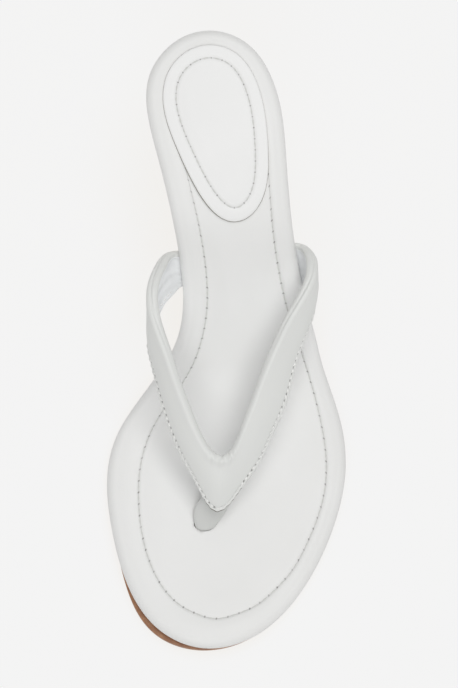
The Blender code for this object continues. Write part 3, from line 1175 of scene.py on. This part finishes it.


@dataclass
class Strap(Laid):
    """The upper: nappa folded round a soft roll at its heel side edge and stitched at the other."""

    tab_height: float = 1.1
    tab_thickness: float = 1.8
    tab_reach: float = 10.0
    filling_out: float = 12.0
    nominal_width: float = 14.0
    roll_radius: float = 1.85
    roll_power: float = 2.15
    lean: float = 0.7
    loop_padding: float = 0.3
    welt_depth: float = 0.5
    panel: float = 1.0
    lining: float = 0.85
    edge: float = 0.9
    crown: float = 0.25
    camber: float = 0.75
    crease_from_edge: float = 2.3
    crease_depth: float = 0.12
    turn_from_edge: float = 1.6
    turn_depth: float = 0.42
    turn_width: float = 0.35
    seam_inset: float = 1.85
    groove_depth: float = 0.3
    groove_width: float = 0.45
    pucker: float = 0.22
    gather: float = 0.36
    gather_pitch: float = 2.3
    gather_draw: float = 0.22
    bunch: float = 0.5
    fold_lining: float = 0.24
    fold_outside: float = 0.07
    fold_pitch: float = 2.9
    loop_middle: float = 18.0
    loop_reach: float = 22.0
    inner_end: float = 1.0
    outer_start: float = 12.5
    edge_shadow_shift: float = 3.2
    edge_shadow_reach: float = 9.2
    edge_shadow_width: float = 0.72
    pitch: float = 2.5
    columns: int = 860
    tab_rows: int = 3

    def __post_init__(self) -> None:
        """Fits both edges through the rails and the two hidden ends."""
        rows = self.tab_points(INNER_TAB, self.tab_reach)
        rows += [
            (LAST.from_toe(*rail[:3]), LAST.from_toe(*rail[3:]))
            for rail in (*INNER_ARM, POINT_OF_V, *OUTER_ARM)
        ]
        rows += self.tab_points(OUTER_TAB, -self.tab_reach)[::-1]
        heel, toe = (np.array(edge) for edge in zip(*rows))
        knots = run_of((heel + toe) / 2) * MM
        self.heel_at, self.toe_at = self.curve(knots, heel), self.curve(knots, toe)
        self.knots = knots
        self.leaves = knots[self.tab_rows]
        self.meets = knots[-self.tab_rows - 1]
        self.point = knots[self.tab_rows + len(INNER_ARM)]
        self.seam = self.nominal_width - self.seam_inset
        self.ts = np.linspace(knots[0], knots[-1], 4001)
        heel, across, _, width = self.frame(self.ts)
        self.run = run_of(heel + across * (self.reach(width, self.seam) * MM)[:, None])
        self.crest_run = run_of(heel)

    @staticmethod
    def curve(knots: Array, points: Array) -> Callable:
        """A smooth curve through points in space."""
        parts = [natural_spline(knots, points[:, k]) for k in range(3)]
        return lambda t: np.stack([part(t) for part in parts], axis=-1)

    def tab_points(self, tab: Tab, reach: float) -> list[tuple[Array, Array]]:
        """Both edges of a hidden end, from its end out to the rim.

        Args:
            tab: where the end passes under the rim.
            reach: how far it goes on from there.

        Returns:
            Pairs of points in metres.
        """
        return [
            tuple(
                LAST.place(along, tab.edge + reach * share, self.tab_height)
                for along in (tab.heel_side, tab.toe_side)
            )
            for share in np.linspace(1, 0, self.tab_rows)
        ]

    def rings(self) -> list[tuple[float, float]]:
        """(distance from the heel side edge, side) round the band: +1 outside, -1 lining."""
        w, r, e = self.nominal_width, self.roll_radius, self.edge
        quarter = np.pi / 2
        panel_start, panel_end = r + 1.4, self.seam - 1.2
        outside = [
            *(r * (1 - np.cos(np.linspace(0, quarter, 13)) ** (2 / self.roll_power))),
            *np.linspace(r, panel_start, 8)[1:],
            *np.linspace(panel_start, panel_end, 14)[1:],
            *np.linspace(panel_end, w - e, 14)[1:],
            *(w - e * (1 - np.sin(np.linspace(0, quarter, 8)))[1:]),
        ]
        lining = [(a, -1.0) for a in outside[::-1][1:-1]]
        return [(a, 1.0) for a in outside] + lining + [(outside[0], 1.0)]

    def height(self, a: float, side: float, loop: Array) -> Array:
        """Half thickness of the full band.

        Args:
            a: distance from the heel side edge.
            side: +1 outside, -1 lining.
            loop: 1 in the two loops beside the footbed, 0 at the point of the V.

        Returns:
            The half thickness in mm.
        """
        w, r, n = self.nominal_width, self.roll_radius, self.roll_power
        if a < r:
            body = r * (1 - (1 - a / r) ** n) ** (1 / n)
        elif side > 0:
            body = between(r, self.panel, np.clip((a - r) / (self.seam - r), 0, 1) ** 1.15)
        else:
            body = between(r, self.lining, smooth((a - r) / 2.6))
        body = body + self.loop_padding * loop * (1 - smooth((a - r) / 4)) * body / r
        body = body * np.sqrt(1 - np.clip((a - w + self.edge) / self.edge, 0, 1) ** 2)
        groove = self.groove_depth * bump(a - self.seam, self.groove_width)
        if side < 0:
            turn = self.turn_depth * bump(a - self.turn_from_edge, self.turn_width)
            return body - turn - groove / 2
        crown = self.crown * np.sin(np.pi * np.clip((a - 4) / (self.seam - 4), 0, 1))
        crease = self.crease_depth * bump(a - self.crease_from_edge, 0.4) * loop
        return body + crown - crease - groove

    def frame(self, t: Array) -> tuple[Array, ...]:
        """(heel edge, way to the toe edge, outward way, width in mm) at lengths t.

        Args:
            t: lengths along the strap.

        Returns:
            Points and directions, one row for each length.
        """
        heel, toe = self.heel_at(t), self.toe_at(t)
        near = t - 0.2 * MM, t + 0.2 * MM
        behind, ahead = (self.heel_at(u) + self.toe_at(u) for u in near)
        outward = unit(np.cross(ahead - behind, heel - toe))
        return heel, unit(toe - heel), outward, np.linalg.norm(heel - toe, axis=-1) / MM

    def reach(self, width: Array, a: float) -> Array:
        """Distance from the heel edge on a band of some other width than the nominal one."""
        share = np.clip((a - 4) / (self.nominal_width - 4 - 3.2), 0, 1)
        return a + (width - self.nominal_width) * share

    def inwards(self, t: Array) -> Array:
        """Distance in mm from the nearer place where the strap leaves the rim."""
        return np.minimum(t - self.leaves, self.meets - t) / MM

    def run_at(self, t: Array) -> Array:
        """Length along the seam in mm at lengths t along the strap."""
        return np.interp(t, self.ts, self.run)

    def on_surface(self, t: Array, a: float, side: float) -> Array:
        """Points of one row of the section.

        Args:
            t: lengths along the strap.
            a: distance from the heel side edge.
            side: +1 outside, -1 lining.

        Returns:
            The points in metres.
        """
        heel, across, outward, width = self.frame(t)
        reach = self.reach(width, a)
        full = np.clip(0.5 + self.inwards(t) / self.filling_out, 0, 1)
        loop = bump(self.inwards(t) - self.loop_middle, self.loop_reach)
        edge = np.clip(np.minimum(a, self.nominal_width - a) / self.edge, 0, 1)
        thin = self.tab_thickness / 2 * np.sqrt(1 - (1 - edge) ** 2)
        body = between(thin, self.height(a, side, loop), full)
        bow = self.camber * full * (1 - (2 * reach / width - 1) ** 2)
        pull, draw = self.puckers(t, a)
        out = side * body + bow + pull * (1 if side > 0 else 0.4) + self.folds(t, a, side)
        # The padded edge leans: its wall stands back from the outside to the lining. In the
        # loops a fine crease runs along it, where the fold of the outside leather ends.
        near = 1 - smooth((a - self.roll_radius) / self.roll_radius)
        level = side * body / self.roll_radius
        reach = reach + draw + full * near * self.lean * (1 - level) / 2
        reach = reach + self.welt_depth * loop * near * bump(level - 0.36, 0.2)
        return heel + across * (reach * MM)[:, None] + outward * (out * MM)[:, None]

    def puckers(self, t: Array, a: float) -> tuple[Array, Array]:
        """(lift, draw) of the gathers inside the point of the V and along the stitches.

        Args:
            t: lengths along the strap.
            a: distance from the heel side edge.

        Returns:
            Both movements in mm.
        """
        off = np.interp(t, self.ts, self.crest_run)
        off = off - np.interp(self.point, self.ts, self.crest_run)
        wave = np.cos(off * TURN / self.gather_pitch + 0.4) * bump(off - 0.6, 4.4)
        lift = self.gather * wave * bump(a - 1.0, 1.8)
        draw = self.gather_draw * wave * bump(a, 1.2)
        # The gathered leather bunches up into a small soft pad at the point's inner corner.
        lift = lift + self.bunch * bump(off, 4.5) * bump(a - 1.9, 1.5)
        stitch = -np.cos(self.run_at(t) * TURN / self.pitch)
        stitch = self.pucker * stitch * smooth((self.inwards(t) - 14) / 8)
        lift = lift + stitch * bump(a - self.seam - 0.4, 0.8)
        return lift, draw + 0.5 * stitch * smooth((a - self.seam) / 1.4)

    def folds(self, t: Array, a: float, side: float) -> Array:
        """Soft folds that run along the loops, deep in the lining and faint outside.

        Args:
            t: lengths along the strap.
            a: distance from the heel side edge.
            side: +1 outside, -1 lining.

        Returns:
            Their heights in mm.
        """
        depth = self.fold_lining if side < 0 else self.fold_outside
        total = 0
        for gone, phase in (((t - self.leaves) / MM, 0.0), ((self.meets - t) / MM, 1.3)):
            wave = a * TURN / self.fold_pitch + phase + 0.05 * gone + 0.5 * np.sin(gone / 5)
            total = total + depth * np.cos(wave) * bump(gone - 9, 11) * bump(a - 7.2, 4.2)
        return total

    def lay(self, column: Array, a: float, side: float) -> tuple[Array, ...]:
        """A row's points, run along the seam and distance from it, shifted to tell parts apart."""
        t = column / self.columns * self.knots[-1]
        off = a - self.seam + LINING_MAP * (side < 0 and a > self.turn_from_edge)
        # No painted needle-hole shade where the seam pauses, just past the point of the V.
        run = self.run_at(t)
        past = run - self.run_at(self.point)
        off = off + PAUSE_MAP * ((past > self.inner_end) & (past < self.outer_start))
        return self.on_surface(t, a, side), run, off

    def build(self) -> None:
        """Makes the strap and its stitches."""
        bm = self.grid("strap")
        bmesh.ops.holes_fill(bm, edges=bm.edges, sides=0)
        layer = bm.loops.layers.uv[UV_NAME]
        middle = float(self.run_at(self.point)) + self.edge_shadow_shift
        for face in bm.faces:
            run = sum(lp[layer].uv.x for lp in face.loops) / len(face.loops)
            off = min(lp[layer].uv.y for lp in face.loops)
            face.material_index = int(off > LINING_MAP / 2)
            # The outside's cut edge is drawn as a fine dark line round the point: partly the cut
            # edge's own colour, partly painted shadow under the tip.
            off = off - (PAUSE_MAP if off > PAUSE_MAP / 2 else 0)
            on_edge = self.seam_inset - self.edge_shadow_width < off < self.seam_inset + 1
            if on_edge and abs(run - middle) < self.edge_shadow_reach:
                face.material_index = 2
        lining = Nappa("sheepskin_lining", light="f0f2f3", dark="ecedee", grain_mm=0.5)
        # The strap's leather is toned greyer than the footbed's: partly its own cooler tone, partly
        # painted shade on its sloping panels; its needle holes take a darker painted shade.
        leather = Nappa(
            "nappa_strap",
            light="e1e2df",
            dark="dcdddb",
            hole_shade="474541",
            roughness=0.38,
            grain_mm=0.65,
            pitch_mm=self.pitch,
            hole_mm=0.78,
            line_strength=0.08,
        )
        cut_edge_and_shadow = RawEdgeShade("nappa_cut_edge", light="8b8780", dark="625e58")
        strap = finished("v_strap", bm, leather, lining, cut_edge_and_shadow)
        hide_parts("strap")
        self.stitch()

    def stitch(self) -> None:
        """Sews the toe side edge: the inner arm round to the point, then the outer arm."""
        bm = bmesh.new()
        leaves, point, meets = (self.run_at(t) for t in (self.leaves, self.point, self.meets))
        row = StitchRow(self.pitch, share=0.64, radius=0.27, dive=0.3, rise=0.12, sway=0.08)
        for start, end, seed in (
            (leaves + 3, point + self.inner_end, 21),
            (point + self.outer_start, meets - 3, 23),
        ):
            first, last = (round(s / self.pitch) * self.pitch for s in (start, end))
            t = np.interp(np.linspace(first, last, 900), self.run, self.ts)
            for side in (1, -1):
                line, up = self.on_surface(t, self.seam, side), self.frame(t)[2] * side
                row.sew(bm, line, up, seed + side)
        thread = finished("strap_stitches", bm, Thread("thread_strap", colour="eeeeec"))


# ---- Toe post ----


@dataclass
class ToePost(Laid):
    """The toe post: a folded thong of nappa from under the point of the V into the footbed."""

    sections: tuple[Section, ...] = (
        Section(-2.0, 60.0, 22.6, 8.6, 4.6),
        Section(-3.1, 55.6, 18.0, 9.6, 4.9),
        Section(-5.8, 51.0, 13.0, 11.4, 5.1),
        Section(-7.3, 47.5, 9.6, 8.2, 5.2),
        Section(-7.8, 46.3, 8.0, 7.0, 5.0),
        Section(-7.9, 46.2, 5.6, 6.2, 4.5),
    )
    columns: int = 72
    rows: int = 90
    cap_rows: int = 5
    squareness: float = 0.86
    swell: float = 0.05
    fold: float = 0.22

    def __post_init__(self) -> None:
        """Fits a curve through each size of the sections."""
        knots = np.arange(len(self.sections))
        self.fields = [natural_spline(knots, sizes) for sizes in zip(*self.sections)]

    def rings(self) -> list[tuple[int]]:
        """Ring numbers, from the top."""
        return [(row,) for row in range(self.rows + 2 * self.cap_rows + 1)]

    def lay(self, column: Array, row: int) -> tuple[Array, ...]:
        """A ring's points and map, with both ends of the post closed to a point."""
        down = np.clip(row - self.cap_rows, 0, self.rows) / self.rows * (len(self.sections) - 1)
        x, y, z, across, along = (field(down) for field in self.fields)
        end = min(row, self.rows + 2 * self.cap_rows - row, self.cap_rows) / self.cap_rows
        close = np.sin(end * np.pi / 2)
        angle = column / self.columns * TURN
        c, s = (np.sign(v) * np.abs(v) ** self.squareness for v in (np.cos(angle), np.sin(angle)))
        swell = 1 + self.swell * bump(z - 9.6, 1.2)
        fold = self.fold * bump(angle - 1.5 * np.pi, 0.35) * smooth((z - 11) / 5)
        px = x + across / 2 * swell * c * close
        py = y + (along / 2 * swell - fold) * s * close
        return LAST.from_toe(px, py, z), angle * 3.0, z

    def build(self) -> None:
        """Makes the post."""
        bm = self.grid("post")
        # The post's leather is toned darker than the strap's: the extra darkness paints part of the
        # shade under the point of the V.
        leather = Nappa(
            "nappa_post", light="d3d4d2", dark="cecfcc", grain_mm=0.6, roughness=0.36
        )
        post = finished("thong_post", bm, leather)
        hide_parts("toe_post")


# ---- Outsole, heel and top piece ----


@dataclass
class Outsole(Laid):
    """Thin leather outsole with a burnished edge, from the toe to the heel's front face."""

    thickness: float = 2.5
    gap: float = 0.3
    breast: float = 181.0
    rim_inset: float = 1.1
    waist_inset: float = 2.0
    waist_from: float = 84.0
    waist_fade: float = 30.0
    squared_part: float = 0.03
    spread: float = 2.35
    spread_lap: float = 0.42
    spread_reach: float = 0.32
    field_inset: float = 1.2
    rounding: float = 0.45
    columns: int = 420
    spine_start: float = 34.0
    field_rows: int = 12

    def inset(self, lap: Array) -> Array:
        """How far its edge stands in from the rim: proud at the inner toe, trimmed elsewhere.

        Args:
            lap: lap angles.

        Returns:
            The insets in mm.
        """
        waist = smooth((FOOTBED.at(lap)[0] - self.waist_from) / self.waist_fade)
        trimmed = between(self.rim_inset, self.waist_inset, waist)
        return trimmed - self.spread * bump(lap - self.spread_lap, self.spread_reach)

    def rings(self) -> list[tuple[Kind, float, float]]:
        """(kind, inset or share, height) from the top's middle round to the underside's."""
        top, low, r = -self.gap, -self.gap - self.thickness, self.rounding
        shares = np.linspace(1, 0, self.field_rows + 1)
        return [
            *((Kind.SPINE, share, top) for share in shares),
            (Kind.INSET, 0.15, top),
            (Kind.INSET, 0.0, top - 0.15),
            (Kind.INSET, -0.06, (top + low) / 2),
            *(
                (Kind.INSET, r * (1 - np.cos(angle)), low + r * (1 - np.sin(angle)))
                for angle in np.linspace(0, np.pi / 2, 5)
            ),
            *((Kind.SPINE, share, low) for share in shares[::-1]),
        ]

    def lay(
        self, column: Array, kind: Kind, value: float, height: float
    ) -> tuple[Array, ...]:
        """A ring's points, and where they lie on the flat sole."""
        end = FOOTBED.lap_of(self.breast, Side.INNER)
        lap = (column / self.columns * 2 - 1) * end
        inset = self.inset(lap) + (value if kind is Kind.INSET else self.field_inset)
        along, across = FOOTBED.inside(lap, inset)
        share = (1 - np.cos(lap)) / (1 - np.cos(end))
        # The squared end: the last few columns slide on to the heel's front face.
        slide = smooth((share - (1 - self.squared_part)) / self.squared_part)
        at = np.stack([between(along, self.breast, slide), across])
        if kind is Kind.SPINE:
            at = between(at, FOOTBED.spine(share, self.spine_start, self.breast), value)
        return LAST.place(*at, height), *at

    def build(self) -> None:
        """Makes the outsole and closes its squared end."""
        bm = self.grid("sole")
        bmesh.ops.holes_fill(bm, edges=bm.edges, sides=0)
        sole = finished("leather_sole", bm, SoleLeather("sole_leather_burnished"))
        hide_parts("outsole")


@dataclass
class Heel(Laid):
    """Slim heel: it narrows fast under the seat and runs straight down to its top piece."""

    breast: float = 181.3
    inset: float = 1.6
    centre: float = -7.6
    tip_width: float = 10.0
    tip_length: float = 10.5
    tip_thickness: float = 5.0
    setback: float = 13.0
    gap: float = 0.3
    taper: float = 3.2
    flare: float = 0.35
    front: float = 0.36
    side_columns: int = 180
    front_columns: int = 60
    rows: int = 110
    softening: int = 3

    @property
    def columns(self) -> int:
        """Faces round the closed outline."""
        return self.side_columns + self.front_columns

    def seat(self) -> Array:
        """The sides and back of the outline where the heel meets the footbed."""
        first = FOOTBED.lap_of(self.breast, Side.INNER)
        lap = np.linspace(first, TURN - first, self.side_columns)
        along, across = FOOTBED.inside(lap, self.inset)
        corner = smooth(np.minimum(lap - first, TURN - first - lap) / 0.03)
        return LAST.place(between(along, self.breast, 1 - corner), across, -self.gap)

    def foot(self) -> Array:
        """The same part of the outline above the top piece."""
        angle = np.linspace(0.19 * np.pi, 1.81 * np.pi, self.side_columns)
        x = self.tip_width / 2 * np.sin(angle) * (1 + self.flare * np.maximum(0, np.cos(angle)))
        y = np.maximum(-self.tip_length / 2 * np.cos(angle), -self.tip_length * self.front)
        y = LAST.y[-1] - self.setback + y
        return LAST.from_toe(self.centre - x, y, self.tip_thickness + self.gap)

    def outline(self, share: float) -> Array:
        """The closed outline at a share of the way down, with softly rounded corners.

        Args:
            share: 0 at the footbed, 1 at the top piece.

        Returns:
            Its points in metres.
        """
        seat, foot = self.seat(), self.foot()
        side = between(seat, foot, 1 - (1 - share) ** self.taper)
        side[:, 2] = between(seat[:, 2], foot[:, 2], share)
        across = np.linspace(0, 1, self.front_columns + 2)[1:-1, None]
        closed = np.concatenate([side, between(side[-1], side[0], across)])
        for _ in range(self.softening):
            closed = (np.roll(closed, 1, 0) + 2 * closed + np.roll(closed, -1, 0)) / 4
        return closed

    def rings(self) -> list[tuple[float, float]]:
        """(share of the way down, share of the full outline) of each ring."""
        body = np.linspace(0, 1, self.rows) ** 1.2
        cap = [0.0, 0.5, 0.9, 0.98]
        return [(0.0, c) for c in cap] + [(b, 1.0) for b in body] + [(1.0, c) for c in cap[::-1]]

    def lay(self, column: Array, down: float, share: float) -> tuple[Array, ...]:
        """A ring's points and map."""
        ring = self.outline(down)
        ring = between(ring.mean(axis=0), ring, share)
        return ring[column.astype(int) % len(ring)], column, down * 60

    def build(self) -> None:
        """Makes the heel."""
        bm = self.grid("heel")
        heel = finished("covered_heel", bm, Nappa("nappa_heel", grain_mm=0.7))
        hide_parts("heel")


@dataclass
class TopPiece(Laid):
    """Moulded top piece under the heel, with a small rounding where it meets the floor."""

    heel: Heel
    rounding: float = 0.35

    @property
    def columns(self) -> int:
        """As many faces round it as round the heel."""
        return self.heel.columns

    def rings(self) -> list[tuple[float, float]]:
        """(height, inset) of each ring from the top's middle to the sole's middle."""
        high, r, past_middle = self.heel.tip_thickness, self.rounding, 99.0
        rim = [
            (r * (1 - np.sin(angle)), r * (1 - np.cos(angle)))
            for angle in np.linspace(0, np.pi / 2, 5)
        ]
        top = [(high, past_middle), (high, 0.2), (high - 0.2, 0.0), (high / 2, 0.0)]
        return [*top, *rim, (0.0, past_middle)]

    def lay(self, column: Array, z: float, inset: float) -> tuple[Array, ...]:
        """A ring's points, and where they lie seen from above."""
        outline = self.heel.outline(1.0)
        middle = outline.mean(axis=0)
        away = outline - middle
        length = np.linalg.norm(away, axis=1, keepdims=True)
        ring = middle + away * np.maximum(0, 1 - inset * MM / length)
        ring[:, 2] = z * MM
        ring = ring[column.astype(int) % len(ring)]
        return ring, ring[:, 0] / MM, ring[:, 1] / MM

    def build(self) -> None:
        """Makes the top piece."""
        bm = self.grid("tip")
        tip = finished("top_piece", bm, MouldedRubber("rubber_top_piece"))
        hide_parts("heel_tip")


# ---- Studio ----


@dataclass
class Studio:
    """Pale floor, soft light from all round with two softboxes, and the camera."""

    eye_mm: tuple[float, float, float] = (-44.3, -213.7, 1086.4)
    aim_mm: tuple[float, float, float] = (0.0, 1.0, 34.0)
    lens: float = 158.0
    floor_size: float = 6.0
    tent: float = 0.44
    lamps: tuple[Lamp, ...] = (
        Lamp("overhead", 170.0, 195.0, 1330.0, 0.7, 6.4),
        Lamp("front", -100.0, -800.0, 1050.0, 0.7, 4.2),
    )

    def build(self) -> None:
        """Makes the studio."""
        self.floor()
        self.lights()
        self.camera()
        bpy.context.scene.view_settings.view_transform = "Standard"

    def floor(self) -> None:
        """A sheet of white paper on the floor."""
        bm = bmesh.new()
        bmesh.ops.create_grid(bm, x_segments=1, y_segments=1, size=self.floor_size / 2)
        floor = dressed("paper_floor", bm, PaperSweep("paper_white"))

    def lights(self) -> None:
        """An even white tent, a softbox above and a weaker one beyond the toes."""
        world = bpy.data.worlds.new("tent")
        world.use_nodes = True
        background = world.node_tree.nodes["Background"]
        background.inputs["Color"].default_value = (1, 1, 1, 1)
        background.inputs["Strength"].default_value = self.tent
        bpy.context.scene.world = world
        for lamp in self.lamps:
            softbox = bpy.data.lights.new(lamp.name, "AREA")
            softbox.shape = "SQUARE"
            softbox.size = lamp.size
            softbox.energy = lamp.watts
            light = bpy.data.objects.new(lamp.name, softbox)
            light.location = Vector((lamp.x, lamp.y, lamp.z)) * MM
            light.rotation_euler = (-light.location).to_track_quat("-Z", "Y").to_euler()
            bpy.context.scene.collection.objects.link(light)

    def camera(self) -> None:
        """Looks down from in front of the toes, with the heel at the top of the frame."""
        lens = bpy.data.cameras.new("camera")
        lens.lens = self.lens
        camera = bpy.data.objects.new("camera", lens)
        eye, aim = Vector(self.eye_mm) * MM, Vector(self.aim_mm) * MM
        back = (eye - aim).normalized()
        right = Vector((0, 1, 0)).cross(back).normalized()
        axes = Matrix((right, back.cross(right), back)).transposed()
        camera.matrix_world = Matrix.Translation(eye) @ axes.to_4x4()
        bpy.context.scene.collection.objects.link(camera)
        bpy.context.scene.camera = camera


def main() -> None:
    """Builds the shoe piece by piece."""
    logging.basicConfig(level=logging.INFO, format="%(name)s: %(message)s")
    heel = Heel()
    for part in (Footbed(), HeelPad(), Strap(), ToePost(), Outsole(), heel, TopPiece(heel)):
        part.build()
    Studio().build()


if __name__ == "__main__":
    main()
